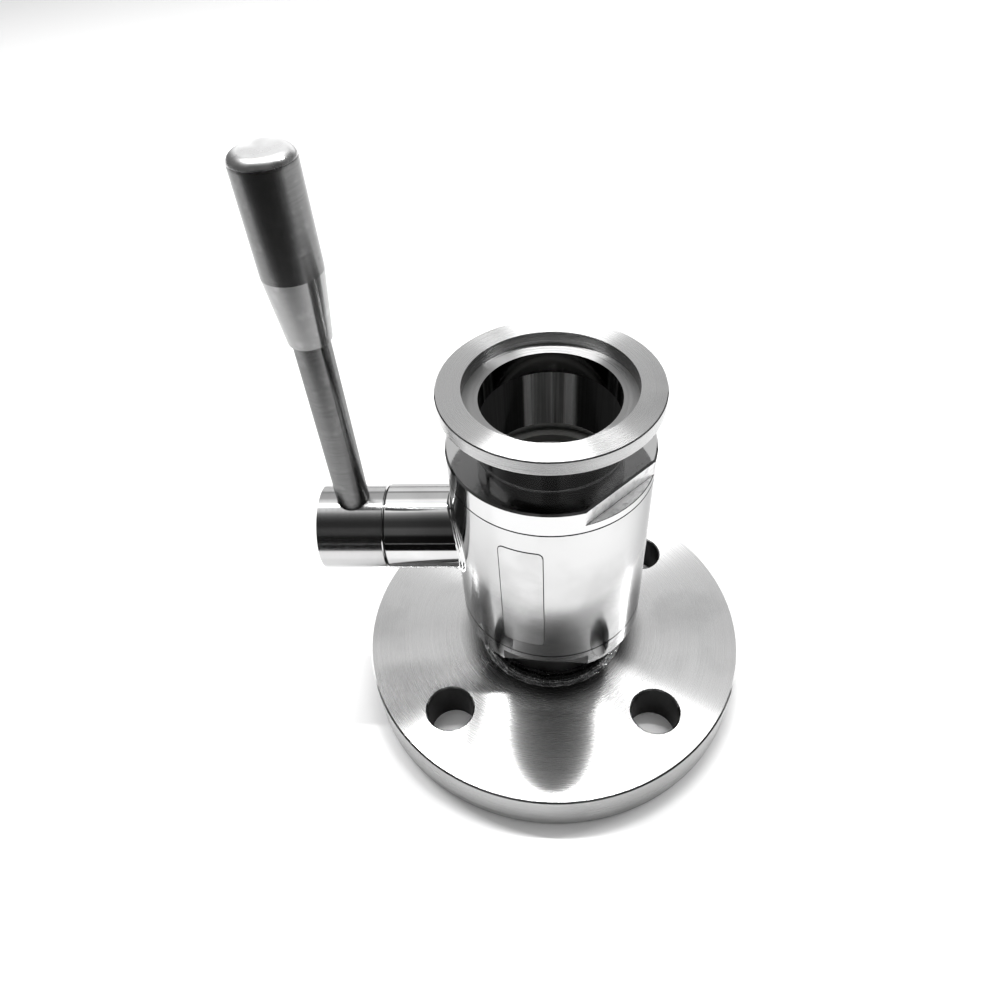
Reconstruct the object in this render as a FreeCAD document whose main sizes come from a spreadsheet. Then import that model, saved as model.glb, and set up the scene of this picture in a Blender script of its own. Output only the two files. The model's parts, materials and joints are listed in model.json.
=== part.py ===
"""Flanged ball valve: plate flange below, quick-coupling rim above, lever on a side stem.

Millimetres. The origin is the centre of the flange's underside and +Z runs up the bore.
The stem points along -X and the open valve's lever stands up, parallel to the bore.
"""
import FreeCAD, Part
import os
import re

import Sketcher

# Driving sizes. Each is a cell of the sheet with its name as the alias.
SIZES = {
    # pipes and plate flange
    "pipe_diameter": 48.3,
    "pipe_wall": 2.0,
    "pipe_free": 19.9,
    "pipe_setback": 4.0,
    "pipe_play": 0.15,
    "bolt_circle": 110.0,
    "flange_margin": 20.0,
    "flange_thickness": 18.0,
    "bolt_hole": 18.0,
    "bolt_count": 4,
    "hole_chamfer": 0.5,
    "flange_chamfer": 0.6,
    "weld_leg": 3.1,
    "weld_fullness": 0.62,
    "weld_gap": 0.05,
    "inner_weld_leg": 2.6,
    # ball and seats
    "port_step": 2.15,
    "ball_wall": 10.0,
    "ball_edge_chamfer": 0.6,
    "slot_depth": 6.0,
    "slot_width": 8.1,
    "seat_reach": 13.0,
    "seat_height": 8.3,
    "seat_lip": 0.3,
    "seat_clearance": 0.15,
    "seat_play": 0.1,
    "seat_shoulder": 3.1,
    # shell and end caps
    "ball_room": 0.5,
    "shell_step": 1.5,
    "shell_wall": 2.0,
    "spigot_wall": 4.85,
    "spigot_play": 0.05,
    "spigot_gap": 1.5,
    "shell_gap": 0.4,
    "recess_depth": 3.9,
    "cap_web": 3.3,
    "cap_height": 9.0,
    "cap_band": 3.0,
    "flat_depth": 3.7,
    "upper_flat_turn": 44.4,
    "lower_flat_turn": 4.0,
    "socket_depth": 5.7,
    "edge_break": 0.3,
    "cap_chamfer": 0.6,
    "cap_ring_land": 2.0,
    "cap_ring_groove": 2.2,
    "cap_ring_depth": 1.5,
    "ring_play": 0.02,
    "ring_flat": 0.42,
    # coupling rim
    "neck_free": 9.5,
    "ferrule_neck": 4.5,
    "rim_back": 2.9,
    "rim_edge": 5.0,
    "rim_width": 8.0,
    "ledge_width": 4.85,
    "gasket_depth": 4.66,
    "rim_chamfer": 0.35,
    # stem, housing and gland
    "stem_diameter": 16.0,
    "stem_end_diameter": 14.0,
    "stem_play": 0.05,
    "tang_width": 18.0,
    "tang_play": 0.1,
    "collar_step": 3.0,
    "collar_gap": 0.4,
    "collar_thickness": 3.0,
    "washer_thickness": 1.0,
    "axial_play": 0.1,
    "seal_length": 12.6,
    "stem_ring_groove": 2.2,
    "stem_ring_depth": 1.8,
    "bush_wall": 2.0,
    "bush_length": 10.0,
    "bush_recess": 0.3,
    "housing_weld_round": 2.4,
    # lever and its stop
    "lever_travel": 90.0,
    "stop_pin_diameter": 2.4,
    "stop_play": 0.15,
    "stop_inner_land": 1.05,
    "stop_outer_land": 1.45,
    "stop_groove_depth": 2.0,
    "stop_pin_end_gap": 0.5,
    "stop_pin_hold": 5.0,
    "hub_gap": 0.5,
    "hub_length": 23.4,
    "hub_end_wall": 4.8,
    "hub_bore_play": 0.1,
    "hub_chamfer": 0.4,
    "rod_setback": 11.1,
    "rod_diameter": 11.2,
    "rod_play": 0.1,
    "rod_tip_diameter": 8.0,
    "rod_length": 80.6,
    "spigot_length": 25.0,
    "grip_length": 53.8,
    "grip_cone": 21.6,
    "grip_diameter": 17.6,
    "grip_lip": 0.95,
    "grip_round": 3.0,
}

# Places and radii that follow from the driving sizes, as formulas over the sheet.
PIPE_R = "(pipe_diameter / 2)"
PIPE_IN_R = "(pipe_diameter / 2 - pipe_wall)"
FLANGE_R = "(bolt_circle / 2 + flange_margin)"
FLANGE_BORE_R = f"({PIPE_R} + pipe_play)"
PORT_R = f"({PIPE_IN_R} - port_step)"
BALL_R = f"({PORT_R} + ball_wall)"
SHELL_BORE_R = f"({BALL_R} + ball_room)"
COUNTERBORE_R = f"({SHELL_BORE_R} + shell_step)"
SHELL_R = f"({COUNTERBORE_R} + shell_wall)"
SPIGOT_R = f"({COUNTERBORE_R} - spigot_play)"
POCKET_R = f"({SPIGOT_R} - spigot_wall)"
SEAT_FOOT = f"({BALL_R} - seat_reach)"
SEAT_BACK = f"({SEAT_FOOT} + seat_height)"
HALF_SHELL = f"({SEAT_BACK} + recess_depth + cap_web)"
LOWER_CAP_Z = "(flange_thickness + pipe_free)"
STEM_Z = f"({LOWER_CAP_Z} + cap_height + {HALF_SHELL})"
UPPER_CAP_Z = f"({STEM_Z} + {HALF_SHELL} + cap_height)"
SEAM_Z = f"({UPPER_CAP_Z} + neck_free)"
BUSH_R = "(stem_diameter / 2 + bush_wall)"
STOP_IN_R = f"({BUSH_R} + stop_inner_land)"
STOP_R = f"({STOP_IN_R} + stop_play + stop_pin_diameter / 2)"
STOP_OUT_R = f"({STOP_R} + stop_play + stop_pin_diameter / 2)"
HOUSING_R = f"({STOP_OUT_R} + stop_outer_land)"
SPIGOT_END = f"({HOUSING_R} + spigot_gap)"
COLLAR_IN = f"({BALL_R} + collar_gap)"
COLLAR_OUT = f"({COLLAR_IN} + collar_thickness)"
POCKET_FLOOR = f"({COLLAR_OUT} + washer_thickness + axial_play)"
BUSH_START = f"({POCKET_FLOOR} + seal_length)"
HOUSING_END = f"({BUSH_START} + bush_length + bush_recess)"
HUB_START = f"({HOUSING_END} + hub_gap)"
HUB_END = f"({HUB_START} + hub_length)"
ROD_REACH = f"({HUB_START} + rod_setback)"
STEM_END = f"({HUB_END} - hub_end_wall - axial_play)"

UP = FreeCAD.Rotation(FreeCAD.Vector(0, 0, 1), 0)
UPSIDE_DOWN = FreeCAD.Rotation(FreeCAD.Vector(1, 0, 0), 180)
# Along the stem: the piece's own +Z points along -X and its own +X points up.
ALONG_STEM = FreeCAD.Rotation(FreeCAD.Vector(0, 1, 0), -90)

doc = FreeCAD.newDocument("FlangedBallValve")
sheet = doc.addObject("Spreadsheet::Sheet", "Sizes")
for row, (alias, number) in enumerate(SIZES.items(), start=1):
    sheet.set(f"A{row}", alias)
    sheet.set(f"B{row}", str(number))
    sheet.setAlias(f"B{row}", alias)
doc.recompute()


def spell(formula):
    """Formula with each size's name written as a cell of the sheet."""
    return re.sub(r"[a-z][a-z_]*", lambda m: "Sizes." + m[0] if m[0] in SIZES else m[0], formula)


def value(formula):
    """Number that a formula gives with the sheet's present sizes."""
    return float(sheet.evalExpression(spell(formula)))


def bind(thing, prop, formula):
    """Ties one property to a formula."""
    thing.setExpression(prop, spell(formula))


def place(piece, x="0", z="0", rotation=UP):
    """Turns a piece, then ties its position to the sizes."""
    piece.Placement = FreeCAD.Placement(FreeCAD.Vector(0, 0, 0), rotation)
    bind(piece, "Placement.Base.x", x)
    bind(piece, "Placement.Base.z", z)


def new_body(name, x="0", z="0", rotation=UP):
    """Empty body that stands at its place in the valve."""
    body = doc.addObject("PartDesign::Body", name)
    body.Label = name
    place(body, x, z, rotation)
    return body


def new_sketch(body, name, role, lift=None, turn=None):
    """Sketch on one of the body's own origin planes."""
    sketch = body.newObject("Sketcher::SketchObject", f"{body.Name}_{name}")
    plane = [item for item in body.Origin.OriginFeatures if item.Role == role][0]
    sketch.AttachmentSupport = (plane, [""])
    sketch.MapMode = "FlatFace"
    if lift:
        bind(sketch, "AttachmentOffset.Base.z", lift)
    if turn:
        bind(sketch, "AttachmentOffset.Rotation.Angle", turn)
    return sketch


def constrain(sketch, kind, parts, formula):
    """One dimension of a sketch, tied to a formula."""
    index = sketch.addConstraint(Sketcher.Constraint(kind, *parts, value(formula)))
    bind(sketch, f"Constraints[{index}]", formula)


def draw_outline(sketch, corners):
    """Closed outline of straight sides through (across, up) corners given as formulas."""
    spots = [FreeCAD.Vector(value(across), value(up), 0) for across, up in corners]
    count = len(spots)
    first = sketch.GeometryCount
    for index in range(count):
        sketch.addGeometry(Part.LineSegment(spots[index], spots[(index + 1) % count]))
    for index, (across, up) in enumerate(corners):
        line = first + index
        before = first + (index - 1) % count
        sketch.addConstraint(Sketcher.Constraint("Coincident", before, 2, line, 1))
        if across == "0":
            sketch.addConstraint(Sketcher.Constraint("PointOnObject", line, 1, -2))
        else:
            constrain(sketch, "DistanceX", (-1, 1, line, 1), across)
        if up == "0":
            sketch.addConstraint(Sketcher.Constraint("PointOnObject", line, 1, -1))
        else:
            constrain(sketch, "DistanceY", (-1, 1, line, 1), up)


def draw_ring(sketch, inner, outer, low, high):
    """Rectangle between two radii and two heights."""
    draw_outline(sketch, [(inner, low), (outer, low), (outer, high), (inner, high)])


def draw_squeezed_ring(sketch, radius, across, up):
    """Section of a seal squeezed in its groove: a square with its corners cut off."""
    cut = f"({radius} * ring_flat)"
    corners = [
        (f"-{cut}", f"-{radius}"), (cut, f"-{radius}"), (radius, f"-{cut}"), (radius, cut),
        (cut, radius), (f"-{cut}", radius), (f"-{radius}", cut), (f"-{radius}", f"-{cut}"),
    ]
    draw_outline(sketch, [(f"{across} + {out}", f"{up} + {high}") for out, high in corners])


def draw_circle(sketch, radius, across="0", up="0"):
    """Circle at a point of the sketch."""
    centre = FreeCAD.Vector(value(across), value(up), 0)
    curve = sketch.addGeometry(Part.Circle(centre, FreeCAD.Vector(0, 0, 1), value(radius)))
    constrain(sketch, "Radius", (curve,), radius)
    if across == "0":
        sketch.addConstraint(Sketcher.Constraint("PointOnObject", curve, 3, -2))
    else:
        constrain(sketch, "DistanceX", (-1, 1, curve, 3), across)
    if up == "0":
        sketch.addConstraint(Sketcher.Constraint("PointOnObject", curve, 3, -1))
    else:
        constrain(sketch, "DistanceY", (-1, 1, curve, 3), up)


def feature(body, kind, name):
    """Next feature of a body."""
    return body.newObject(f"PartDesign::{kind}", f"{body.Name}_{name}")


def revolve(body, sketch, name="turned"):
    """Full turn of a sketch about the body's Z axis."""
    turned = feature(body, "Revolution", name)
    turned.Profile = sketch
    turned.ReferenceAxis = (sketch, ["V_Axis"])
    turned.Angle = 360
    doc.recompute()
    return turned


def pad(body, sketch, length, name="padded", both_ways=False):
    """Prism of a sketch along its normal."""
    padded = feature(body, "Pad", name)
    padded.Profile = sketch
    bind(padded, "Length", length)
    if both_ways:
        padded.SideType = "Symmetric"
    doc.recompute()
    return padded


def expect_less(body, before, name):
    """Stops the macro if a cut took nothing away."""
    if body.Shape.Volume > before - 1e-4:
        raise RuntimeError(f"{body.Label}: {name} cut nothing")


def pocket(body, sketch, name, length=None, along_normal=False, both_ways=False):
    """Cut of a sketch, to a depth or through everything."""
    before = body.Shape.Volume
    cut = feature(body, "Pocket", name)
    cut.Profile = sketch
    if length:
        bind(cut, "Length", length)
    else:
        cut.Type = "ThroughAll"
    if both_ways:
        cut.SideType = "Symmetric"
    cut.Reversed = along_normal
    doc.recompute()
    expect_less(body, before, name)
    return cut


def turned_groove(body, sketch, name, angle="360"):
    """Cut of a sketch turned about the body's Z axis."""
    before = body.Shape.Volume
    cut = feature(body, "Groove", name)
    cut.Profile = sketch
    cut.ReferenceAxis = (sketch, ["V_Axis"])
    bind(cut, "Angle", angle)
    doc.recompute()
    expect_less(body, before, name)
    return cut


def repeat_around(body, original, sketch, count, angle="360"):
    """Copies of a cut around the normal of its sketch."""
    before = body.Shape.Volume
    pattern = feature(body, "PolarPattern", f"{original.Name}_around")
    pattern.Originals = [original]
    pattern.Axis = (sketch, ["N_Axis"])
    bind(pattern, "Angle", angle)
    bind(pattern, "Occurrences", count)
    body.Tip = pattern
    doc.recompute()
    expect_less(body, before, pattern.Name)
    return pattern


def edges_where(base, test):
    """Names of a feature's edges that pass a test."""
    return [f"Edge{number}" for number, edge in enumerate(base.Shape.Edges, start=1) if test(edge)]


def is_ring(edge, radius, height=None):
    """Tells if an edge is part of a circle about Z with that radius, at that height if given."""
    if not isinstance(edge.Curve, Part.Circle):
        return False
    if abs(edge.Curve.Radius - radius) > 1e-3:
        return False
    return height is None or abs(edge.Curve.Center.z - height) < 1e-3


def ease(body, kind, base, names, prop, size):
    """Fillet or chamfer of named edges."""
    if not names:
        raise RuntimeError(f"{body.Label}: no edges for the {kind}")
    eased = feature(body, kind, kind.lower())
    eased.Base = (base, names)
    bind(eased, prop, size)
    doc.recompute()
    return eased


def chamfer_rings(body, base, rings, size):
    """Chamfers the circular edges at (radius, height) pairs."""
    wanted = [(value(radius), value(height)) for radius, height in rings]
    names = edges_where(base, lambda edge: any(is_ring(edge, *ring) for ring in wanted))
    return ease(body, "Chamfer", base, names, "Size", size)


def round_rings(body, base, rings, size):
    """Fillets the circular edges at (radius, height) pairs."""
    wanted = [(value(radius), value(height)) for radius, height in rings]
    names = edges_where(base, lambda edge: any(is_ring(edge, *ring) for ring in wanted))
    return ease(body, "Fillet", base, names, "Radius", size)


def ring_body(name, inner, outer, low, high, x="0", z="0", rotation=UP):
    """Body that is one plain ring or tube."""
    body = new_body(name, x, z, rotation)
    sketch = new_sketch(body, "section", "XZ_Plane")
    draw_ring(sketch, inner, outer, low, high)
    revolve(body, sketch)
    return body


# Plate flange with its welds and the two pipes

def make_flange():
    """Flat plate flange: turned disc, bolt holes midway between the axes, eased edges."""
    body = new_body("mounting_flange")
    section = new_sketch(body, "section", "XZ_Plane")
    draw_ring(section, FLANGE_BORE_R, FLANGE_R, "0", "flange_thickness")
    revolve(body, section)
    holes = new_sketch(body, "hole", "XY_Plane", turn="180 / bolt_count")
    draw_circle(holes, "bolt_hole / 2", across="bolt_circle / 2")
    hole = pocket(body, holes, "bolt_hole", along_normal=True)
    pattern = repeat_around(body, hole, holes, "bolt_count")
    hole_r = value("bolt_hole / 2")
    names = edges_where(pattern, lambda edge: is_ring(edge, hole_r))
    eased = ease(body, "Chamfer", pattern, names, "Size", "hole_chamfer")
    rims = [(FLANGE_R, "0"), (FLANGE_R, "flange_thickness")]
    chamfer_rings(body, eased, rims, "flange_chamfer")
    return body


def make_flange_weld():
    """Outer fillet weld: slightly full bead in the corner between flange and pipe."""
    body = new_body("flange_weld", z="flange_thickness")
    section = new_sketch(body, "section", "XZ_Plane")
    inner = f"({PIPE_R} + weld_gap)"
    full = "(weld_leg * weld_fullness)"
    crown = f"({inner} + {full})"
    draw_outline(section, [(inner, "0"), (f"{inner} + weld_leg", "0"), (crown, full), (inner, "weld_leg")])
    bead = revolve(body, section)
    round_rings(body, bead, [(crown, full)], full)
    return body


def make_flange_inner_weld():
    """Inner fillet weld: from the pipe's set-back end to the flange's bore."""
    body = new_body("flange_inner_weld")
    section = new_sketch(body, "section", "XZ_Plane")
    outer = f"({FLANGE_BORE_R} - weld_gap)"
    inner = f"({outer} - pipe_wall)"
    foot = "pipe_setback - inner_weld_leg"
    draw_outline(section, [(outer, foot), (outer, "pipe_setback"), (inner, "pipe_setback")])
    revolve(body, section)
    return body


def make_pipes():
    """Stub pipe from the flange into the lower cap, and the neck pipe out of the upper cap."""
    stub_end = f"({LOWER_CAP_Z} + socket_depth)"
    neck_end = f"({UPPER_CAP_Z} - socket_depth)"
    stub = ring_body("stub_pipe", PIPE_IN_R, PIPE_R, "0", f"{stub_end} - pipe_setback", z="pipe_setback")
    neck = ring_body("neck_pipe", PIPE_IN_R, PIPE_R, "0", "socket_depth + neck_free", z=neck_end)
    return [stub, neck]


def make_ferrule():
    """Quick-coupling rim: tapered back, gasket recess on the face, neck the size of the pipe."""
    body = new_body("coupling_ferrule", z=SEAM_Z)
    section = new_sketch(body, "section", "XZ_Plane")
    recess_r = f"({PIPE_IN_R} + ledge_width)"
    rim_r = f"({recess_r} + rim_width)"
    back = "(ferrule_neck + rim_back)"
    top = f"({back} + rim_edge)"
    floor = f"({top} - gasket_depth)"
    draw_outline(section, [
        (PIPE_IN_R, "0"), (PIPE_R, "0"), (PIPE_R, "ferrule_neck"), (rim_r, back),
        (rim_r, top), (recess_r, top), (recess_r, floor), (PIPE_IN_R, floor),
    ])
    rim = revolve(body, section)
    chamfer_rings(body, rim, [(rim_r, top), (rim_r, back)], "rim_chamfer")
    return body


# Shell, end caps and what seals them

def make_shell():
    """Shell tube: bored for the ball, opened at both ends for the caps, holed for the stem's housing."""
    body = new_body("body_shell", z=f"{LOWER_CAP_Z} + cap_height")
    section = new_sketch(body, "section", "XZ_Plane")
    length = f"(2 * {HALF_SHELL})"
    depth = f"({HALF_SHELL} - {SPIGOT_END} + shell_gap)"
    draw_outline(section, [
        (COUNTERBORE_R, "0"), (SHELL_R, "0"), (SHELL_R, length), (COUNTERBORE_R, length),
        (COUNTERBORE_R, f"{length} - {depth}"), (SHELL_BORE_R, f"{length} - {depth}"),
        (SHELL_BORE_R, depth), (COUNTERBORE_R, depth),
    ])
    tube = revolve(body, section)
    eased = chamfer_rings(body, tube, [(SHELL_R, "0"), (SHELL_R, length)], "edge_break")
    side = new_sketch(body, "side_hole", "YZ_Plane")
    draw_circle(side, f"{HOUSING_R} + weld_gap", up=HALF_SHELL)
    pocket(body, side, "side_hole")
    return body


def make_end_cap(name, z, rotation, turn):
    """End cap: flats across the rim, a socket for the pipe, a spigot that holds the seat and a ring."""
    body = new_body(name, z=z, rotation=rotation)
    section = new_sketch(body, "section", "XZ_Plane")
    joint = f"({HALF_SHELL} - {SPIGOT_END})"
    face = f"({joint} + cap_height)"
    recess_low = f"({SEAT_BACK} - {SPIGOT_END})"
    recess_high = f"({recess_low} + recess_depth)"
    recess_r = f"({POCKET_R} - seat_shoulder)"
    socket = f"({face} - socket_depth)"
    socket_r = f"({PIPE_R} + weld_gap)"
    draw_outline(section, [
        (POCKET_R, "0"), (SPIGOT_R, "0"), (SPIGOT_R, joint), (SHELL_R, joint), (SHELL_R, face),
        (socket_r, face), (socket_r, socket), (PIPE_IN_R, socket), (PIPE_IN_R, recess_high),
        (recess_r, recess_high), (recess_r, recess_low), (POCKET_R, recess_low),
    ])
    revolve(body, section)
    groove = new_sketch(body, "ring_groove", "XZ_Plane")
    high = "(cap_ring_land + cap_ring_groove)"
    draw_ring(groove, f"({SPIGOT_R} - cap_ring_depth)", f"({SPIGOT_R} + 1)", "cap_ring_land", high)
    turned_groove(body, groove, "ring_groove")
    flats = new_sketch(body, "flats", "XY_Plane", lift=face, turn=turn)
    across = f"({SHELL_R} - flat_depth)"
    draw_outline(flats, [
        (f"-{SHELL_R}", across), (SHELL_R, across),
        (SHELL_R, f"{SHELL_R} + 1"), (f"-{SHELL_R}", f"{SHELL_R} + 1"),
    ])
    flat = pocket(body, flats, "flat", length="cap_height - cap_band")
    pattern = repeat_around(body, flat, flats, "2")
    chamfer_cap(body, pattern, joint, face)
    return body


def chamfer_cap(body, base, joint, face):
    """Eases the whole outline of the cap's face, flats too, and the edge at the joint."""
    outer = value(SHELL_R)
    top = value(face)
    low = value(joint)
    socket_r = value(f"{PIPE_R} + weld_gap")

    def on_face_outline(edge):
        at_top = all(abs(vertex.Point.z - top) < 1e-3 for vertex in edge.Vertexes)
        return at_top and not is_ring(edge, socket_r)

    outline = ease(body, "Chamfer", base, edges_where(base, on_face_outline), "Size", "cap_chamfer")
    names = edges_where(outline, lambda edge: is_ring(edge, outer, low))
    ease(body, "Chamfer", outline, names, "Size", "edge_break")


def make_cap_ring(name, z, rotation):
    """Sealing ring in the groove of a cap's spigot."""
    body = new_body(name, z=z, rotation=rotation)
    section = new_sketch(body, "section", "XZ_Plane")
    draw_squeezed_ring(
        section,
        "((cap_ring_depth + spigot_play) / 2 - ring_play)",
        across=f"({COUNTERBORE_R} - (cap_ring_depth + spigot_play) / 2)",
        up="(cap_ring_land + cap_ring_groove / 2)",
    )
    revolve(body, section)
    return body


def make_seat(name, rotation):
    """Seat ring with a spherical face for the ball; its own Z = 0 is the ball's centre."""
    body = ring_body(
        name, f"({PORT_R} + seat_lip)", f"({POCKET_R} - seat_play)", SEAT_FOOT, SEAT_BACK,
        z=STEM_Z, rotation=rotation,
    )
    before = body.Shape.Volume
    hollow = feature(body, "SubtractiveSphere", "ball_face")
    bind(hollow, "Radius", f"{BALL_R} + seat_clearance")
    doc.recompute()
    expect_less(body, before, "ball_face")
    return body


def make_ball():
    """Ball: full bore up and down, slot across its -X side for the stem's tang."""
    body = new_body("ball", z=STEM_Z)
    sphere = feature(body, "AdditiveSphere", "sphere")
    bind(sphere, "Radius", BALL_R)
    doc.recompute()
    port = new_sketch(body, "port", "XY_Plane")
    draw_circle(port, PORT_R)
    bored = pocket(body, port, "port", both_ways=True)
    port_r = value(PORT_R)
    names = edges_where(bored, lambda edge: is_ring(edge, port_r))
    ease(body, "Chamfer", bored, names, "Size", "ball_edge_chamfer")
    slot = new_sketch(body, "slot", "XZ_Plane")
    outside = f"(-{BALL_R} - 1)"
    bottom = f"(slot_depth - {BALL_R})"
    half = "(slot_width / 2)"
    draw_outline(slot, [(outside, f"-{half}"), (bottom, f"-{half}"), (bottom, half), (outside, half)])
    pocket(body, slot, "slot", both_ways=True)
    return body


# Side stem: housing, its weld, and what turns and seals in it

def make_housing():
    """Stem housing: cut flush with the shell's bore, pocket, seal bore, bush bore, stop groove."""
    body = new_body("stem_housing", z=STEM_Z, rotation=ALONG_STEM)
    section = new_sketch(body, "section", "XZ_Plane")
    pocket_r = "(stem_diameter / 2 + collar_step + 4 * stem_play)"
    start = f"({SHELL_BORE_R} - {HOUSING_R})"
    draw_outline(section, [
        (pocket_r, start), (HOUSING_R, start), (HOUSING_R, HOUSING_END), (BUSH_R, HOUSING_END),
        (BUSH_R, BUSH_START), ("stem_diameter / 2 + stem_play", BUSH_START),
        ("stem_diameter / 2 + stem_play", POCKET_FLOOR), (pocket_r, POCKET_FLOOR),
    ])
    tube = revolve(body, section)
    chamfer_rings(body, tube, [(HOUSING_R, HOUSING_END)], "edge_break")
    bore = new_sketch(body, "shell_bore", "YZ_Plane")
    draw_circle(bore, SHELL_BORE_R)
    pocket(body, bore, "shell_bore", both_ways=True)
    cut_stop_groove(body)
    return body


def cut_stop_groove(body):
    """Arc in the housing's end face, from the body's own +Y round to -X, with round ends."""
    arc = new_sketch(body, "stop_arc", "YZ_Plane")
    draw_ring(arc, STOP_IN_R, STOP_OUT_R, f"({HOUSING_END} - stop_groove_depth)", f"({HOUSING_END} + 1)")
    turned_groove(body, arc, "stop_arc", angle="lever_travel")
    end = new_sketch(body, "stop_end", "XY_Plane", lift=HOUSING_END)
    draw_circle(end, "stop_pin_diameter / 2 + stop_play", up=STOP_R)
    round_end = pocket(body, end, "stop_end", length="stop_groove_depth")
    repeat_around(body, round_end, end, "2", angle="lever_travel")


def make_housing_weld():
    """Saddle bead: what a fillet adds between the shell's and the housing's cylinders."""
    body = new_body("housing_weld", z=STEM_Z, rotation=ALONG_STEM)
    shell = new_sketch(body, "shell", "YZ_Plane")
    draw_circle(shell, SHELL_R)
    pad(body, shell, f"2 * {HOUSING_R} + 8 * housing_weld_round", "shell", both_ways=True)
    stub = new_sketch(body, "stub", "XY_Plane")
    draw_circle(stub, HOUSING_R)
    both = pad(body, stub, f"{SHELL_R} + 4 * housing_weld_round", "stub")
    names = edges_where(both, lambda edge: not isinstance(edge.Curve, (Part.Circle, Part.Line)))
    ease(body, "Fillet", both, names, "Radius", "housing_weld_round")
    shell_room = new_sketch(body, "shell_room", "YZ_Plane")
    draw_circle(shell_room, f"{SHELL_R} + weld_gap")
    pocket(body, shell_room, "shell_room", both_ways=True)
    stub_room = new_sketch(body, "stub_room", "XY_Plane")
    draw_circle(stub_room, f"{HOUSING_R} + weld_gap")
    pocket(body, stub_room, "stub_room", both_ways=True)
    return body


def make_stem():
    """Stem: tang in the ball's slot, collar that can't pass the housing, shank, end in the hub."""
    body = new_body("stem", z=STEM_Z, rotation=ALONG_STEM)
    section = new_sketch(body, "section", "XZ_Plane")
    collar_r = "(stem_diameter / 2 + collar_step)"
    shank_r = "(stem_diameter / 2)"
    end_r = "(stem_end_diameter / 2)"
    shoulder = f"({HOUSING_END} + hub_gap / 2)"
    draw_outline(section, [
        ("0", COLLAR_IN), (collar_r, COLLAR_IN), (collar_r, COLLAR_OUT), (shank_r, COLLAR_OUT),
        (shank_r, shoulder), (end_r, shoulder), (end_r, STEM_END), ("0", STEM_END),
    ])
    revolve(body, section)
    tang_foot = f"({BALL_R} - slot_depth + 4 * tang_play)"
    tang = new_sketch(body, "tang", "XY_Plane", lift=tang_foot)
    half_thick = "(slot_width / 2 - tang_play)"
    half_wide = "(tang_width / 2)"
    draw_outline(tang, [
        (f"-{half_thick}", f"-{half_wide}"), (half_thick, f"-{half_wide}"),
        (half_thick, half_wide), (f"-{half_thick}", half_wide),
    ])
    pad(body, tang, f"{COLLAR_IN} - {tang_foot}", "tang")
    for index in (1, 2):
        groove = new_sketch(body, f"ring_groove_{index}", "XZ_Plane")
        low = f"({stem_ring_place(index)} - stem_ring_groove / 2)"
        high = f"({stem_ring_place(index)} + stem_ring_groove / 2)"
        draw_ring(groove, f"({shank_r} - stem_ring_depth)", f"({shank_r} + 1)", low, high)
        turned_groove(body, groove, f"ring_groove_{index}")
    cross = new_sketch(body, "cross_hole", "YZ_Plane")
    draw_circle(cross, "rod_tip_diameter / 2 + rod_play", up=ROD_REACH)
    pocket(body, cross, "cross_hole", both_ways=True)
    return body


def stem_ring_place(index):
    """Distance from the ball's centre to the middle of a stem ring's groove."""
    return f"({POCKET_FLOOR} + seal_length * {index} / 3)"


def make_stem_rings():
    """The stem's two sealing rings, alike, as one group."""
    rings = []
    for index in (1, 2):
        ring = new_body(f"stem_ring_{index}")
        section = new_sketch(ring, "section", "XZ_Plane")
        draw_squeezed_ring(
            section,
            "((stem_ring_depth + stem_play) / 2 - ring_play)",
            across="(stem_diameter / 2 + stem_play - (stem_ring_depth + stem_play) / 2)",
            up=stem_ring_place(index),
        )
        revolve(ring, section)
        rings.append(ring)
    group = doc.addObject("Part::Compound", "stem_orings")
    group.Label = "stem_orings"
    group.Links = rings
    place(group, z=STEM_Z, rotation=ALONG_STEM)
    doc.recompute()
    return group


def make_stem_guides():
    """Thrust washer behind the collar and the gland bush at the housing's outer end."""
    washer = ring_body(
        "thrust_washer", "(stem_diameter / 2 + 3 * stem_play)", "(stem_diameter / 2 + collar_step)",
        f"({POCKET_FLOOR} - washer_thickness)", POCKET_FLOOR, z=STEM_Z, rotation=ALONG_STEM,
    )
    bush = ring_body(
        "gland_bush", "(stem_diameter / 2 + stem_play)", f"({BUSH_R} - stem_play)",
        BUSH_START, f"({BUSH_START} + bush_length)", z=STEM_Z, rotation=ALONG_STEM,
    )
    return [washer, bush]


# Lever: hub, stop pin, rod and grip

def make_hub():
    """Lever hub: blind bore for the stem, hole on top for the rod, small hole for the stop pin."""
    body = new_body("lever_hub", z=STEM_Z, rotation=ALONG_STEM)
    section = new_sketch(body, "section", "XZ_Plane")
    bore_r = "(stem_end_diameter / 2 + hub_bore_play)"
    bore_end = f"({HUB_END} - hub_end_wall)"
    draw_outline(section, [
        (bore_r, HUB_START), (HOUSING_R, HUB_START), (HOUSING_R, HUB_END), ("0", HUB_END),
        ("0", bore_end), (bore_r, bore_end),
    ])
    turned = revolve(body, section)
    chamfer_rings(body, turned, [(HOUSING_R, HUB_START), (HOUSING_R, HUB_END)], "hub_chamfer")
    top = new_sketch(body, "rod_hole", "YZ_Plane")
    draw_circle(top, "rod_diameter / 2 + rod_play", up=ROD_REACH)
    pocket(body, top, "rod_hole", along_normal=True)
    pin = new_sketch(body, "pin_hole", "XY_Plane", lift=HUB_START)
    draw_circle(pin, "stop_pin_diameter / 2 + ring_play", across=f"-{STOP_R}")
    pocket(body, pin, "pin_hole", length="stop_pin_hold", along_normal=True)
    return body


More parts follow.
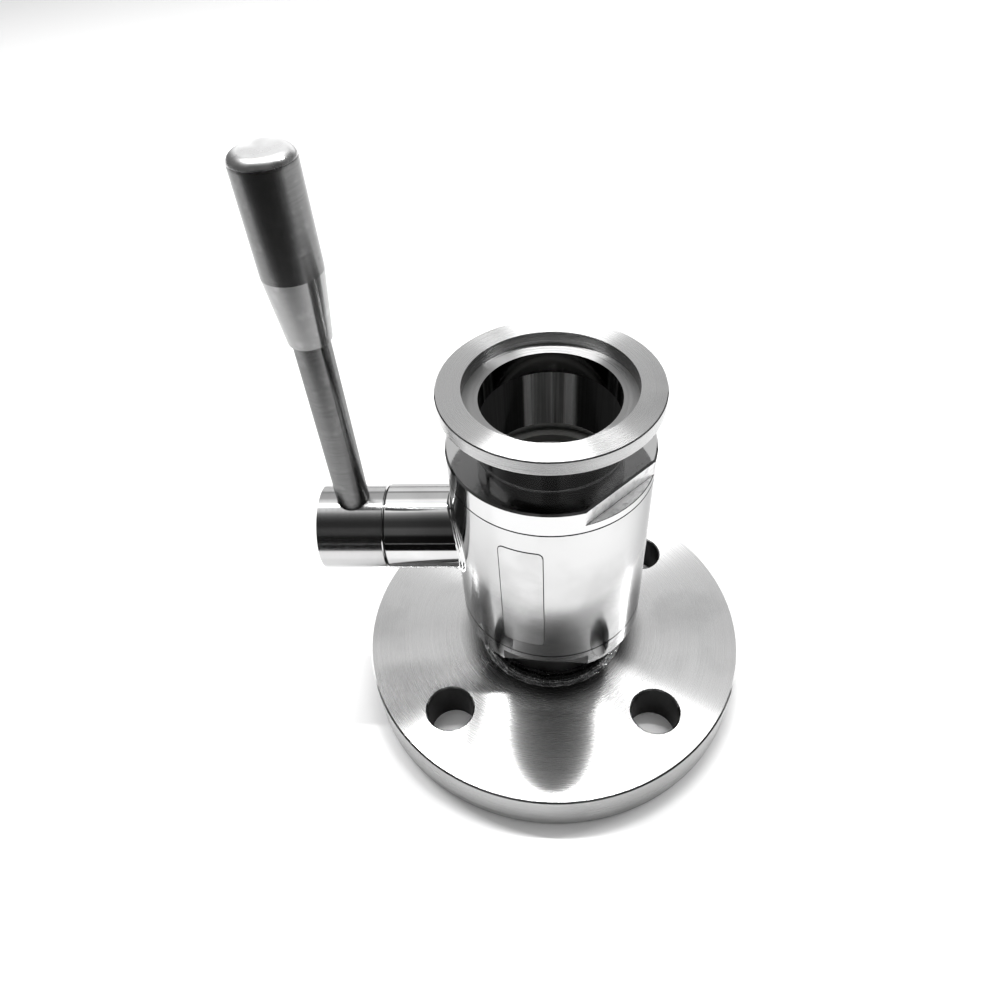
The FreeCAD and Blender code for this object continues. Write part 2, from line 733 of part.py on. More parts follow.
def make_stop_pin():
    """Stop pin: pressed in the hub, its end runs in the housing's arc."""
    body = new_body("stop_pin", x=f"-{HUB_START}", z=f"{STEM_Z} - {STOP_R}", rotation=ALONG_STEM)
    circle = new_sketch(body, "section", "XY_Plane", lift="stop_pin_end_gap - hub_gap - stop_groove_depth")
    draw_circle(circle, "stop_pin_diameter / 2")
    pad(body, circle, "stop_pin_hold + hub_gap + stop_groove_depth - stop_pin_end_gap")
    return body


def make_rod():
    """Lever rod: thin tip through the stem, plain shank, spigot up into the grip."""
    tip_low = "(sqrt((stem_end_diameter / 2) ^ 2 - (rod_tip_diameter / 2) ^ 2) - rod_play)"
    body = new_body("lever_rod", x=f"-{ROD_REACH}", z=f"{STEM_Z} - {tip_low}")
    section = new_sketch(body, "section", "XZ_Plane")
    tip_r = "(rod_tip_diameter / 2)"
    shank_r = "(rod_diameter / 2)"
    step = f"({tip_low} + stem_end_diameter / 2 + 2 * hub_bore_play)"
    shank_end = f"({tip_low} + rod_length)"
    draw_outline(section, [
        ("0", "0"), (tip_r, "0"), (tip_r, step), (shank_r, step), (shank_r, shank_end),
        (tip_r, shank_end), (tip_r, f"{shank_end} + spigot_length"), ("0", f"{shank_end} + spigot_length"),
    ])
    revolve(body, section)
    return body


def make_grip():
    """Grip: slim cone up to a cylinder with a rounded top, bored for the rod's spigot."""
    body = new_body("lever_grip", x=f"-{ROD_REACH}", z=f"{STEM_Z} + rod_length")
    section = new_sketch(body, "section", "XZ_Plane")
    hole_r = "(rod_tip_diameter / 2 + rod_play)"
    low_r = "(rod_diameter / 2 + grip_lip)"
    grip_r = "(grip_diameter / 2)"
    hole_end = "(spigot_length + rod_play)"
    draw_outline(section, [
        (hole_r, "0"), (low_r, "0"), (grip_r, "grip_cone"), (grip_r, "grip_length"), ("0", "grip_length"),
        ("0", hole_end), (hole_r, hole_end),
    ])
    turned = revolve(body, section)
    eased = round_rings(body, turned, [(grip_r, "grip_length")], "grip_round")
    chamfer_rings(body, eased, [(low_r, "0")], "edge_break")
    return body


def make_valve():
    """All pieces of the valve, in place."""
    upper_z = f"{STEM_Z} + {SPIGOT_END}"
    lower_z = f"{STEM_Z} - {SPIGOT_END}"
    pieces = [make_flange(), make_flange_weld(), make_flange_inner_weld()]
    pieces += make_pipes()
    pieces.append(make_ferrule())
    pieces.append(make_shell())
    pieces.append(make_end_cap("upper_end_cap", upper_z, UP, "upper_flat_turn"))
    pieces.append(make_end_cap("lower_end_cap", lower_z, UPSIDE_DOWN, "lower_flat_turn"))
    pieces.append(make_cap_ring("upper_cap_oring", upper_z, UP))
    pieces.append(make_cap_ring("lower_cap_oring", lower_z, UPSIDE_DOWN))
    pieces.append(make_seat("upper_seat", UP))
    pieces.append(make_seat("lower_seat", UPSIDE_DOWN))
    pieces.append(make_ball())
    pieces.append(make_housing())
    pieces.append(make_housing_weld())
    pieces.append(make_stem())
    pieces.append(make_stem_rings())
    pieces += make_stem_guides()
    pieces += [make_hub(), make_stop_pin(), make_rod(), make_grip()]
    return pieces


def check(pieces):
    """Stops the macro if any object failed or any piece has no sound solid."""
    doc.recompute()
    for item in doc.Objects:
        if {"Invalid", "Error"} & set(item.State):
            raise RuntimeError(f"{item.Name} failed: {item.State}")
    for piece in pieces:
        shape = piece.Shape
        if shape.isNull() or not shape.isValid() or shape.Volume <= 0:
            raise RuntimeError(f"{piece.Label} has no sound solid")


def export(pieces):
    """Writes each piece to its own file."""
    os.makedirs("parts", exist_ok=True)
    for piece in pieces:
        piece.Shape.exportStep(f"parts/{piece.Label}.step")


valve = make_valve()
check(valve)
export(valve)
for piece in valve:
    box = piece.Shape.BoundBox
    print(f"{piece.Label:20s} {piece.Shape.Volume:10.1f} mm3  x {box.XMin:7.2f} {box.XMax:7.2f}"
          f"  y {box.YMin:7.2f} {box.YMax:7.2f}  z {box.ZMin:7.2f} {box.ZMax:7.2f}")
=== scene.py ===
"""Looks of a flanged ball valve: finishes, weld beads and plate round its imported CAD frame. Metres."""
import json
import math

import bmesh
import bpy
from mathutils import Matrix, Vector
from mathutils import noise as perlin


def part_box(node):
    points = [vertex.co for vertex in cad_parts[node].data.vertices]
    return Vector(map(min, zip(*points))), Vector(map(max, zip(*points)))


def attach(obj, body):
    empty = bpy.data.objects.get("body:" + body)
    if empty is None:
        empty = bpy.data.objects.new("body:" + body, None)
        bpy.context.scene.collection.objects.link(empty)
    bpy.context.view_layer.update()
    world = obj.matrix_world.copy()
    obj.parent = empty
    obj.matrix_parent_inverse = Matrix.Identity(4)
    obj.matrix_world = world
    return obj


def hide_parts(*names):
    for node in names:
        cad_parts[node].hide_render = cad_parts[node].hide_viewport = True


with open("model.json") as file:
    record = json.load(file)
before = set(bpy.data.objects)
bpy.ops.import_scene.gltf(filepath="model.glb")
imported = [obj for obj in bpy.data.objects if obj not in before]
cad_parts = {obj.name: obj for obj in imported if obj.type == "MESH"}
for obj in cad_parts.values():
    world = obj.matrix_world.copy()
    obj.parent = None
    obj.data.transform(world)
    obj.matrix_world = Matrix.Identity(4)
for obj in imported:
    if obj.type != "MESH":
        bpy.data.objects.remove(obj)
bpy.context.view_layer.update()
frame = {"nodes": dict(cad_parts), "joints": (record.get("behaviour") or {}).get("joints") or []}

MM = 0.001

# Places and sizes read from the frame
STEM_AXIS_Z = next(item for item in frame["joints"] if item["name"] == "lever_turn")["pos_m"][2]
PIPE_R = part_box("stub_pipe")[1].x
SHELL_FOOT_Z, SHELL_TOP_Z = (corner.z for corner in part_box("body_shell"))
SHELL_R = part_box("body_shell")[1].x
FLANGE_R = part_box("mounting_flange")[1].x
LEVER_X = sum(corner.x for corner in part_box("lever_rod")) / 2
HOUSING_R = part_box("stem_housing")[1].y
GRIP_TOP_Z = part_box("lever_grip")[1].z
RIM_R, RIM_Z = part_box("coupling_ferrule")[1].x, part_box("coupling_ferrule")[1].z
CAP_BOXES = (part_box("lower_end_cap"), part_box("upper_end_cap"))

# Sizes inside a node, which its box doesn't give
BORE_R = 22.15 * MM
RECESS_R, RECESS_Z = 27.0 * MM, RIM_Z - 4.66 * MM
FLAT_HEIGHT = 6.0 * MM
FLAT_FOOT = CAP_BOXES[1][1].z - FLAT_HEIGHT - STEM_AXIS_Z
FLAT_TURN = -45.6
GRIP_ROUND = 2.4 * MM

# A face is a wall, a chamfer or level by how far its normal tilts; its middle lies close to its place
WALL_TILT, CHAMFER_TILT, LEVEL_TILT = 0.3, 0.95, 0.9
CLOSE = 0.3 * MM

# Bare plate on the shell, where it stands in the photograph (turns in degrees from the front)
PLATE_TURN = (-29.5, -3.9)
PLATE_FOOT, PLATE_TOP = 53.8 * MM, 103.6 * MM
PLATE_CORNER = 2.2 * MM
PLATE_THICKNESS = 0.12 * MM
PLATE_RIM = 0.3 * MM
PLATE_SINK = 0.02 * MM
PLATE_CELLS = (48, 80)

# Camera, as fitted to the round edges in the photograph (angles in degrees, lens in millimetres)
CAMERA_DISTANCE = 265.6 * MM
CAMERA_TARGET_Z = 92.6 * MM
CAMERA_ANGLES = (45.9, -3.79, -0.295)
CAMERA_LENS, CAMERA_SENSOR = 27.58, 36.0
CAMERA_CLIP = (0.01, 20.0)

# Surroundings: brightness by degrees of rise from the front (0) over the top (90) to the back (180); the middle
# fades into the sides by degrees aside, and a shaded strip runs along it up to a rise
WORLD_PEAK = 2.0
WORLD_STOPS = (
    (-24, 0.005), (18, 0.01), (26, 0.11), (38, 0.12), (46, 0.05), (58, 0.05), (66, 0.1), (74, 0.22), (82, 0.5),
    (89, 1.4), (122, 1.4), (127, 0.75), (148, 0.7), (151, 0.35), (155, 0.35), (158, 1.1), (180, 1.0),
)
WORLD_SPAN = (-30.0, 180.0)
MIDDLE_EDGE = (15.0, 36.0)
SIDE_RISE, SIDE_GLOW = (60.0, 100.0), (0.04, 0.1)
STRIP_EDGE, STRIP_RISE, STRIP_SHADE = (7.0, 11.0), (98.0, 108.0), 0.5
BACKDROP = 0.92
FLOOR_SIZE = 6.0
FLAG_EDGE_Y, FLAG_DEPTH, FLAG_WIDTH, FLAG_LIFT = -203 * MM, 1.6, 2.4, 0.5 * MM

# Lamps: name, middle, size and watts; the tubes lie side by side and have watts per metre
CEILING = ("ceiling", (0.0, 0.35, 1.3), (1.6, 1.6), 13.0)
TUBE_Y, TUBE_Z, TUBE_WIDTH = 0.31, 1.3, 0.03
TUBES = (("left_tube", -0.58, 0.26, 18.0), ("dim_tube", 0.26, 0.44, 2.5), ("right_tube", 0.44, 0.95, 8.0))


# Shader nodes

def node(tree, kind, inputs=None, **settings):
    """Adds a shader node; an input is a number, a colour or another node's socket."""
    made = tree.nodes.new("ShaderNode" + kind)
    for key, setting in settings.items():
        setattr(made, key, setting)
    for key, given in (inputs or {}).items():
        if isinstance(given, bpy.types.NodeSocket):
            tree.links.new(given, made.inputs[key])
        else:
            made.inputs[key].default_value = given
    return made


def calc(tree, operation, *values):
    """Output of a math node."""
    return node(tree, "Math", dict(enumerate(values)), operation=operation).outputs[0]


def times(tree, first, *others):
    """Product of two or more values."""
    for other in others:
        first = calc(tree, "MULTIPLY", first, other)
    return first


def degrees(tree, operation, *values):
    """Angle in degrees from a math node that gives it in radians."""
    return times(tree, calc(tree, operation, *values), 180 / math.pi)


def radius_from(tree, first, second):
    """Distance from an axis, given the two coordinates across it."""
    return calc(tree, "SQRT", calc(tree, "ADD", times(tree, first, first), times(tree, second, second)))


def step(tree, value, low, high, out_low=0.0, out_high=1.0):
    """Smooth step of a value between two limits."""
    inputs = {"Value": value, "From Min": low, "From Max": high, "To Min": out_low, "To Max": out_high}
    return node(tree, "MapRange", inputs, interpolation_type="SMOOTHSTEP").outputs[0]


def ramp(tree, value, low, high, stops):
    """Grey ramp over a value from low to high; each stop is (share of the way, brightness)."""
    scaled = node(tree, "MapRange", {"Value": value, "From Min": low, "From Max": high}).outputs[0]
    made = node(tree, "ValToRGB", {"Fac": scaled})
    elements = made.color_ramp.elements
    while len(elements) < len(stops):
        elements.new(0.5)
    for element, (place, brightness) in zip(elements, stops):
        element.position = place
        element.color = (brightness, brightness, brightness, 1)
    return made.outputs["Color"]


def mix(tree, factor, first, second):
    """Mix of two numbers."""
    return node(tree, "Mix", {"Factor": factor, "A": first, "B": second}, data_type="FLOAT").outputs["Result"]


def grey(tree, value):
    """Grey colour from a number."""
    return node(tree, "CombineColor", {0: value, 1: value, 2: value}).outputs[0]


def object_place(tree):
    """Place of the shaded point in the part's own space."""
    return node(tree, "TexCoord").outputs["Object"]


def split(tree, vector):
    """The X, Y and Z of a vector."""
    return node(tree, "SeparateXYZ", {0: vector}).outputs


def noise(tree, vector, scale=1.0, detail=2.0, roughness=0.5):
    """Noise from 0 to 1 over a vector."""
    inputs = {"Vector": vector, "Scale": scale, "Detail": detail, "Roughness": roughness}
    return node(tree, "TexNoise", inputs).outputs["Fac"]


def cloud(tree, scale, detail=2.0):
    """Soft noise in the part's own space, scale per metre."""
    return noise(tree, object_place(tree), scale, detail)


def vary(tree, pattern, low, high):
    """Value that a noise moves between two limits."""
    return step(tree, pattern, *NOISE_SPAN, low, high)


def marks(tree, pattern, start, end, factor):
    """Factor that is 1 but in the marks, where a noise rises above start; from end on it is as given."""
    return step(tree, pattern, start, end, 1.0, factor)


# Light and camera

def build_world():
    """Studio round the valve: bright panel overhead, dim sides, dark front; the camera itself sees a pale one."""
    world = bpy.data.worlds.new("studio")
    bpy.context.scene.world = world
    world.use_nodes = True
    tree = world.node_tree
    tree.nodes.clear()
    parts = split(tree, node(tree, "TexCoord").outputs["Generated"])
    rise = degrees(tree, "ARCTAN2", parts["Z"], times(tree, parts["Y"], -1.0))
    lateral = calc(tree, "ABSOLUTE", degrees(tree, "ARCSINE", parts["X"]))
    low, high = WORLD_SPAN
    stops = [((angle - low) / (high - low), bright / WORLD_PEAK) for angle, bright in WORLD_STOPS]
    middle = times(tree, ramp(tree, rise, low, high, stops), WORLD_PEAK)
    shade = times(tree, step(tree, lateral, *STRIP_EDGE, 1.0, 0.0), step(tree, rise, *STRIP_RISE, STRIP_SHADE, 0.0))
    centre = times(tree, middle, calc(tree, "SUBTRACT", 1.0, shade))
    side = step(tree, rise, *SIDE_RISE, *SIDE_GLOW)
    glow = mix(tree, step(tree, lateral, *MIDDLE_EDGE), centre, side)
    seen = node(tree, "LightPath").outputs["Is Camera Ray"]
    background = node(tree, "Background", {"Color": mix(tree, seen, glow, BACKDROP), "Strength": 1.0})
    node(tree, "OutputWorld", {"Surface": background.outputs[0]})


def add_stage(name, corners, material_name, brightness, roughness, specular, seen=True):
    """Matt sheet of the stage; one that isn't seen shows only in reflections."""
    mesh = bpy.data.meshes.new(name)
    mesh.from_pydata(corners, [], [(0, 1, 2, 3)])
    sheet = bpy.data.objects.new(name, mesh)
    bpy.context.scene.collection.objects.link(sheet)
    material, _, shader = new_material(material_name, (brightness,) * 3, roughness, metallic=0.0)
    shader.inputs["Specular IOR Level"].default_value = specular
    mesh.materials.append(material)
    sheet.visible_camera = sheet.visible_diffuse = sheet.visible_shadow = seen


def build_floor():
    """Plain pale floor."""
    half = FLOOR_SIZE / 2
    corners = [(-half, -half, 0), (half, -half, 0), (half, half, 0), (-half, half, 0)]
    add_stage("floor", corners, "floor_paper", 0.92, 0.9, 0.1)


def build_flag():
    """Dark flag on the floor in front, out of the picture."""
    half, near, far = FLAG_WIDTH / 2, FLAG_EDGE_Y, FLAG_EDGE_Y - FLAG_DEPTH
    corners = [(-half, far, FLAG_LIFT), (half, far, FLAG_LIFT), (half, near, FLAG_LIFT), (-half, near, FLAG_LIFT)]
    add_stage("front_flag", corners, "flag_cloth", 0.003, 1.0, 0.0, seen=False)


def build_lamp(name, place, size, watts, reflected=True):
    """Area lamp that is turned to the valve; one that isn't reflected lights only what is matt."""
    data = bpy.data.lights.new(name, "AREA")
    data.shape = "RECTANGLE"
    data.size, data.size_y = size
    data.energy = watts
    lamp = bpy.data.objects.new(name, data)
    lamp.location = place
    lamp.rotation_euler = (-Vector((0, *place[1:]))).to_track_quat("-Z", "Y").to_euler()
    lamp.visible_glossy = reflected
    bpy.context.scene.collection.objects.link(lamp)


def build_lamps():
    """Broad soft lamp for the floor, and tubes across the bench that the turned faces catch."""
    build_lamp(*CEILING, reflected=False)
    for name, start, end, watts_per_metre in TUBES:
        length = end - start
        build_lamp(name, ((start + end) / 2, TUBE_Y, TUBE_Z), (length, TUBE_WIDTH), watts_per_metre * length)


def build_camera():
    """Camera at the photograph's angle, with its slight swing and roll."""
    tilt, swing, roll = (math.radians(angle) for angle in CAMERA_ANGLES)
    ahead = Vector((0, math.cos(tilt), -math.sin(tilt)))
    right = Vector((1, 0, 0))
    above = right.cross(ahead)
    forward = ahead * math.cos(swing) + right * math.sin(swing)
    across = right * math.cos(swing) - ahead * math.sin(swing)
    side = across * math.cos(roll) + above * math.sin(roll)
    top = above * math.cos(roll) - across * math.sin(roll)
    data = bpy.data.cameras.new("camera")
    data.lens, data.sensor_width = CAMERA_LENS, CAMERA_SENSOR
    data.clip_start, data.clip_end = CAMERA_CLIP
    camera = bpy.data.objects.new("camera", data)
    place = Matrix((side, top, -forward)).transposed().to_4x4()
    place.translation = Vector((0, 0, CAMERA_TARGET_Z)) - ahead * CAMERA_DISTANCE
    camera.matrix_world = place
    bpy.context.scene.collection.objects.link(camera)
    bpy.context.scene.camera = camera


# Finishes: noise lies about 0.5; scales are per metre, pitches and depths in metres

NOISE_SPAN = (0.3, 0.7)
SMUDGE_SCALE, SMEAR_SCALE, WAVE_SCALE = 38.0, 60.0, 45.0
SCUFF_SCALE, NICK_SCALE, STAIN_SCALE = 330.0, 1500.0, 420.0
STREAK_SCALES, SCRATCH_SCALES = (4200.0, 4200.0, 5.0), (60.0, 900.0, 900.0)
TURNED_PITCH, FINE_PITCH, HANDLE_PITCH = 0.3 * MM, 0.2 * MM, 0.22 * MM
SCRATCH_DEPTH = 0.002 * MM
# Share of the grey left where the flange is painted darker as shade at the weld's foot
HEAT_TINT = 0.22


def new_material(name, colour, roughness, metallic=1.0):
    """Material with one Principled shader; returns it with its tree and shader."""
    material = bpy.data.materials.new(name)
    material.use_nodes = True
    tree = material.node_tree
    tree.nodes.clear()
    shader = node(tree, "BsdfPrincipled")
    shader.inputs["Base Color"].default_value = (*colour, 1)
    shader.inputs["Roughness"].default_value = roughness
    shader.inputs["Metallic"].default_value = metallic
    node(tree, "OutputMaterial", {"Surface": shader.outputs[0]})
    return material, tree, shader


def feed(tree, shader, shade, roughness=None):
    """Links a varying grey, and a varying roughness where there is one, to the shader."""
    tree.links.new(grey(tree, shade), shader.inputs["Base Color"])
    if roughness is not None:
        tree.links.new(roughness, shader.inputs["Roughness"])


def bump(tree, shader, height, distance):
    """Bump on the shader's normal."""
    made = node(tree, "Bump", {"Height": height, "Distance": distance, "Strength": 1.0}).outputs[0]
    tree.links.new(made, shader.inputs["Normal"])


def brush(tree, shader, axis, spread=0.9):
    """Spreads the light across fine lines that run round an axis."""
    shader.inputs["Anisotropic"].default_value = spread
    shader.inputs["Anisotropic Rotation"].default_value = 0.25
    tangent = node(tree, "Tangent", direction_type="RADIAL", axis=axis).outputs[0]
    tree.links.new(tangent, shader.inputs["Tangent"])


def set_edge(shader, edge):
    """Brightness of the steel where the eye glances along it."""
    shader.inputs["Specular Tint"].default_value = (edge, edge, edge, 1)


def turned_lines(tree, axis, centre, pitch):
    """Noise that runs round an axis: fine lines a pitch apart, as a tool leaves on a turned face."""
    wander, least_radius = 0.8, 0.1 * MM
    offset = node(tree, "VectorMath", {0: object_place(tree), 1: centre}, operation="SUBTRACT").outputs[0]
    parts = split(tree, offset)
    first, second = (parts[letter] for letter in "XYZ" if letter != axis)
    radius = radius_from(tree, first, second)
    safe = calc(tree, "MAXIMUM", radius, least_radius)
    spots = node(tree, "CombineXYZ", {
        0: times(tree, calc(tree, "DIVIDE", first, safe), wander),
        1: times(tree, calc(tree, "DIVIDE", second, safe), wander),
        2: calc(tree, "DIVIDE", radius, pitch),
    }).outputs[0]
    height = calc(tree, "DIVIDE", parts[axis], pitch)
    return node(tree, "TexNoise", {"Vector": spots, "W": height, "Scale": 1.0, "Detail": 3.0, "Roughness": 0.6},
                noise_dimensions="4D").outputs["Fac"]


def turned_steel(name, axis, centre, roughness, depth, colour=0.66, spread=0.9, pitch=TURNED_PITCH, uneven=0.2,
                 edge=1.0, tinted=None):
    """Turned face: light spreads across the tool's lines, and a few hand smudges dull it.

    The last argument gives the two radii between which painted shade round the weld's foot fades out.
    """
    material, tree, shader = new_material(name, (colour,) * 3, roughness)
    brush(tree, shader, axis, spread)
    set_edge(shader, edge)
    lines = turned_lines(tree, axis, centre, pitch)
    shade = times(tree, marks(tree, cloud(tree, SMUDGE_SCALE, 5.0), 0.5, 0.72, 0.87), colour)
    # Painted shade: darker next to the weld's foot, fading out between the two radii
    if tinted:
        parts = split(tree, object_place(tree))
        shade = times(tree, shade, step(tree, radius_from(tree, parts["X"], parts["Y"]), *tinted, HEAT_TINT, 1.0))
    feed(tree, shader, shade, vary(tree, lines, roughness * (1 - uneven), roughness * (1 + uneven)))
    bump(tree, shader, lines, depth)
    return material


def polished_steel(name, roughness, colour=0.72, wave=0.02 * MM, edge=1.0):
    """Mirror-polished steel with the slight waves that hand polishing leaves."""
    material, tree, shader = new_material(name, (colour,) * 3, roughness)
    set_edge(shader, edge)
    smear = cloud(tree, SMEAR_SCALE, 4.0)
    tree.links.new(step(tree, smear, 0.35, 0.75, roughness * 0.7, roughness * 1.8), shader.inputs["Roughness"])
    bump(tree, shader, cloud(tree, WAVE_SCALE, 1.0), wave)
    return material


def honed_steel(name):
    """Dull bore with a painted highlight: a bright panel painted lengthwise on its far side, with streaks along it.
    """
    material, tree, shader = new_material(name, (0.2,) * 3, 0.6, metallic=0.15)
    brush(tree, shader, "Z")
    parts = split(tree, object_place(tree))
    turn = degrees(tree, "ARCTAN2", parts["Y"], parts["X"])
    # Painted highlight: a bright panel on the far wall, set by the turn round the bore's axis
    wiped = ramp(tree, turn, 62.0, 118.0, (
        (0.0, 0.02), (0.06, 0.04), (0.11, 0.4), (0.17, 1.0), (0.22, 0.9), (0.3, 0.3), (0.42, 0.2),
        (0.47, 0.45), (0.52, 0.25), (0.78, 0.4), (0.84, 1.0), (0.9, 0.6), (0.94, 0.04), (1.0, 0.02),
    ))
    spots = node(tree, "CombineXYZ", {0: times(tree, turn, 0.6), 2: times(tree, parts["Z"], 20.0)}).outputs[0]
    streaks = noise(tree, spots, detail=3.0)
    bright = times(tree, wiped, vary(tree, streaks, 1.0, 2.0))
    feed(tree, shader, calc(tree, "MINIMUM", bright, 1.0))
    bump(tree, shader, streaks, SCRATCH_DEPTH)
    return material


def handled_steel(name, centre, colour, lines, edge=1.0, roughness=0.22):
    """Upright turned rod, worn by hands: streaks along it, faint tool lines, a few nicks and scuffs."""
    material, tree, shader = new_material(name, (colour,) * 3, roughness)
    brush(tree, shader, "Z")
    set_edge(shader, edge)
    drawn = node(tree, "Mapping", {"Vector": object_place(tree), "Scale": STREAK_SCALES}).outputs[0]
    streaks = noise(tree, drawn)
    tool = turned_lines(tree, "Z", centre, HANDLE_PITCH)
    scuffs = marks(tree, cloud(tree, SCUFF_SCALE, 5.0), 0.54, 0.7, 1.22)
    nicks = marks(tree, cloud(tree, NICK_SCALE), 0.7, 0.76, 0.4)
    worked = times(tree, vary(tree, streaks, 0.97, 1.03), step(tree, tool, 0.35, 0.65, 1.0 - lines, 1.0 + lines))
    feed(tree, shader, times(tree, worked, times(tree, scuffs, nicks), colour),
         vary(tree, streaks, roughness * 0.95, roughness * 1.05))
    return material


def milled_steel(name, tone=1.0, ledge=False):
    """Milled flat or the ledge at its foot: satin, with smudges, long scratches and dark lines of painted shade
    along its edges.
    """
    rough, metallic = (0.4, 0.9) if ledge else (0.2, 0.3)
    material, tree, shader = new_material(name, (0.7,) * 3, rough, metallic)
    place = object_place(tree)
    turned = node(tree, "Mapping", {"Vector": place, "Rotation": (0, 0, math.radians(FLAT_TURN)),
                                    "Scale": SCRATCH_SCALES}).outputs[0]
    scratches = noise(tree, turned, detail=4.0, roughness=0.7)
    smudges = cloud(tree, STAIN_SCALE, 5.0)
    parts = split(tree, place)
    # Painted shade: a dark line along the ledge's outer edge, and one at the foot of the flat's wall, where shade
    # falls in the corner
    if ledge:
        reached = radius_from(tree, parts["X"], parts["Y"])
        line = step(tree, reached, SHELL_R - 0.35 * MM, SHELL_R - 0.2 * MM, 1.0, 0.05)
    else:
        height = calc(tree, "ABSOLUTE", calc(tree, "SUBTRACT", parts["Z"], STEM_AXIS_Z))
        line = step(tree, height, FLAT_FOOT + 0.12 * MM, FLAT_FOOT + 0.25 * MM, 0.03, 1.0)
    worn = times(tree, step(tree, smudges, 0.5, 0.68, 0.95, 0.7), step(tree, scratches, 0.34, 0.46, 0.8, 1.0))
    # A tone below 1 paints the whole flat darker, as shade.
    feed(tree, shader, times(tree, worn, line, tone), vary(tree, scratches, rough * 0.8, rough * 1.3))
    bump(tree, shader, scratches, SCRATCH_DEPTH)
    return material


def plain(name, colour, roughness, metallic=0.0, grain=400.0, depth=0.01 * MM):
    """Material with a little grain, for plastics, rubber, shadowed joints, hidden steel and steel painted dark as
    shade.
    """
    material, tree, shader = new_material(name, colour, roughness, metallic)
    bump(tree, shader, cloud(tree, grain, 3.0), depth)
    return material


def plate_foil():
    """Silver foil, faintly creased."""
    material, tree, shader = new_material("plate_foil", (0.6,) * 3, 0.22)
    crease = cloud(tree, 120.0, 3.0)
    feed(tree, shader, vary(tree, cloud(tree, 90.0, 3.0), 0.56, 0.64), vary(tree, crease, 0.18, 0.26))
    bump(tree, shader, crease, 0.004 * MM)
    return material


def plate_rim():
    """Dark line that the plate's edge shows."""
    material, tree, shader = new_material("plate_rim", (0.03,) * 3, 0.6, metallic=0.0)
    bump(tree, shader, cloud(tree, 900.0), 0.005 * MM)
    return material


def weld_steel():
    """Rough bright bead with painted shade on its inner side, in the corner against the pipe."""
    material, tree, shader = new_material("weld_bead", (0.6,) * 3, 0.22)
    grain = cloud(tree, 900.0, 4.0)
    stain = cloud(tree, 160.0)
    parts = split(tree, object_place(tree))
    reached = radius_from(tree, parts["X"], parts["Y"])
    # Painted shade: the bead darkens towards the pipe, in the corner where shade falls
    flank = step(tree, reached, PIPE_R + 2.6 * MM, PIPE_R + 3.6 * MM, 0.1, 1.0)
    feed(tree, shader, times(tree, step(tree, stain, 0.35, 0.65, 0.5, 1.0), flank), vary(tree, grain, 0.12, 0.4))
    bump(tree, shader, grain, 0.05 * MM)
    return material


# Which faces of a CAD node a finish is for

def reach(face):
    """Distance of a face from the bore's axis."""
    return math.hypot(face.center.x, face.center.y)


def upright(face):
    """True for walls, which stand parallel to the bore."""
    return abs(face.normal.z) < WALL_TILT


def slanted(face):
    """True for chamfers and rounds between faces and walls."""
    return WALL_TILT <= abs(face.normal.z) < CHAMFER_TILT


def in_bolt_hole(face):
    """True for the walls of the flange's holes."""
    return upright(face) and 0.4 * FLANGE_R < reach(face) < 0.95 * FLANGE_R


def on_outer_wall(face):
    """True for the outer walls of the flange and of the coupling rim."""
    return upright(face) and reach(face) > 0.97 * (FLANGE_R if face.center.z < STEM_AXIS_Z else RIM_R)


def in_bore(face):
    """True for the walls that the liquid touches."""
    return upright(face) and reach(face) < BORE_R + CLOSE


def on_recess_wall(face):
    """True for the wall of the gasket recess."""
    return upright(face) and face.center.z > RECESS_Z and abs(reach(face) - RECESS_R) < CLOSE


def on_ledge(face):
    """True for the ledge that the gasket sits on."""
    return face.normal.z > LEVEL_TILT and abs(face.center.z - RECESS_Z) < 0.2 * MM


def under_rim(face):
    """True for the back of the coupling rim and its short neck."""
    return face.center.z < RECESS_Z - 0.1 * MM and reach(face) > BORE_R + CLOSE


def on_grip_top(face):
    """True for the grip's rounded end."""
    return face.center.z > GRIP_TOP_Z - GRIP_ROUND


def on_grip_cone(face):
    """True for the side of the grip's cone, which leans outward as it rises."""
    return -LEVEL_TILT < face.normal.z < -0.01


def on_hub_edge(face):
    """True for the chamfers at the hub's two ends."""
    return WALL_TILT <= abs(face.normal.x) < CHAMFER_TILT


def on_flat(face):
    """True for a cap's milled flats and the ledges under them."""
    low, high = CAP_BOXES[face.center.z > STEM_AXIS_Z]
    end_margin, socket_wall, turned_skin = 0.5 * MM, 2 * MM, 0.05 * MM
    between = low.z + end_margin < face.center.z < high.z - end_margin and reach(face) > PIPE_R + socket_wall
    outward = face.normal.x * face.center.x + face.normal.y * face.center.y
    wall = upright(face) and outward > 0.3 * reach(face) and reach(face) < SHELL_R - turned_skin
    return between and (abs(face.normal.z) > LEVEL_TILT or wall)


def on_flat_ledge(face):
    """True for the ledges at the feet of the milled flats."""
    return on_flat(face) and abs(face.normal.z) > LEVEL_TILT


def at_joint(face):
    """True for the chamfers where the shell and the end caps meet."""
    return slanted(face) and min(abs(face.center.z - SHELL_FOOT_Z), abs(face.center.z - SHELL_TOP_Z)) < 0.4 * MM


def on_underside(face):
    """True for the lower cap's face towards the flange."""
    return face.normal.z < -LEVEL_TILT and face.center.z < CAP_BOXES[0][0].z + CLOSE


# Dressing the CAD nodes

def dress(names, material):
    """Gives CAD nodes a material."""
    for name in names:
        piece = frame["nodes"][name]
        piece.data.materials.clear()
        piece.data.materials.append(material)


def dress_faces(name, material, chosen):
    """Gives the faces of a CAD node that a test picks a material of their own."""
    mesh = frame["nodes"][name].data
    mesh.materials.append(material)
    for face in mesh.polygons:
        if chosen(face):
            face.material_index = len(mesh.materials) - 1


